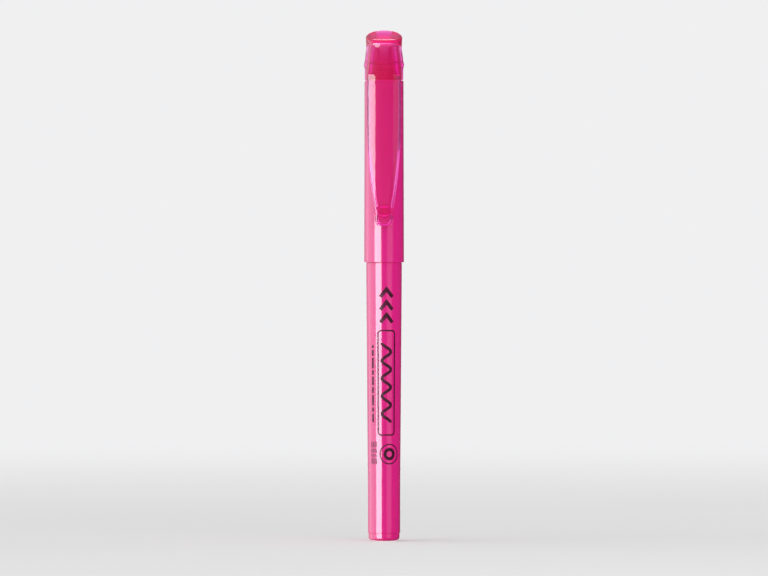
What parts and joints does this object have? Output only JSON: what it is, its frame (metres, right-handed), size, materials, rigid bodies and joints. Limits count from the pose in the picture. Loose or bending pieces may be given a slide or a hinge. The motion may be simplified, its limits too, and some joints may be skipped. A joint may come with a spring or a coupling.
{
  "type": "highlighter pen",
  "caption": "Pen-style chisel highlighter with a pull-off cap, tinted crown and pocket clip, fibre nib and ink reservoir.",
  "frame": {"origin": "centre of the flat rear face of the barrel's end plug", "axes": "+Z along the pen's axis towards the closed end of the cap, -Y towards the pocket clip, +X across the clip"},
  "size_m": [0.0115, 0.0143, 0.1445],
  "materials": {
    "fluorescent_plastic": "gloss",
    "tinted_plastic": "clear gloss",
    "liner_plastic": "satin",
    "ink_felt": "porous felt",
    "film": "clear film"
  },
  "bodies": {
    "barrel": {"barrel": "fluorescent_plastic", "rear_plug": "fluorescent_plastic", "nib_holder": "fluorescent_plastic", "nib": "ink_felt", "ink_reservoir": "ink_felt", "reservoir_film": "film"},
    "cap": {"cap_sleeve": "fluorescent_plastic", "inner_cap": "liner_plastic", "cap_crown": "tinted_plastic"},
    "clip": {"pocket_clip": "tinted_plastic"}
  },
  "joints": [
    {"name": "cap_pull", "type": "slide", "parent": "barrel", "child": "cap", "axis": [0, 0, 1], "range_m": [0, 0.048]},
    {"name": "clip_flex", "type": "hinge", "parent": "cap", "child": "clip", "pos_m": [0, -0.0077, 0.1304], "axis": [-1, 0, 0], "range_deg": [0, 4], "stiffness_Nm_per_rad": 1}
  ]
}
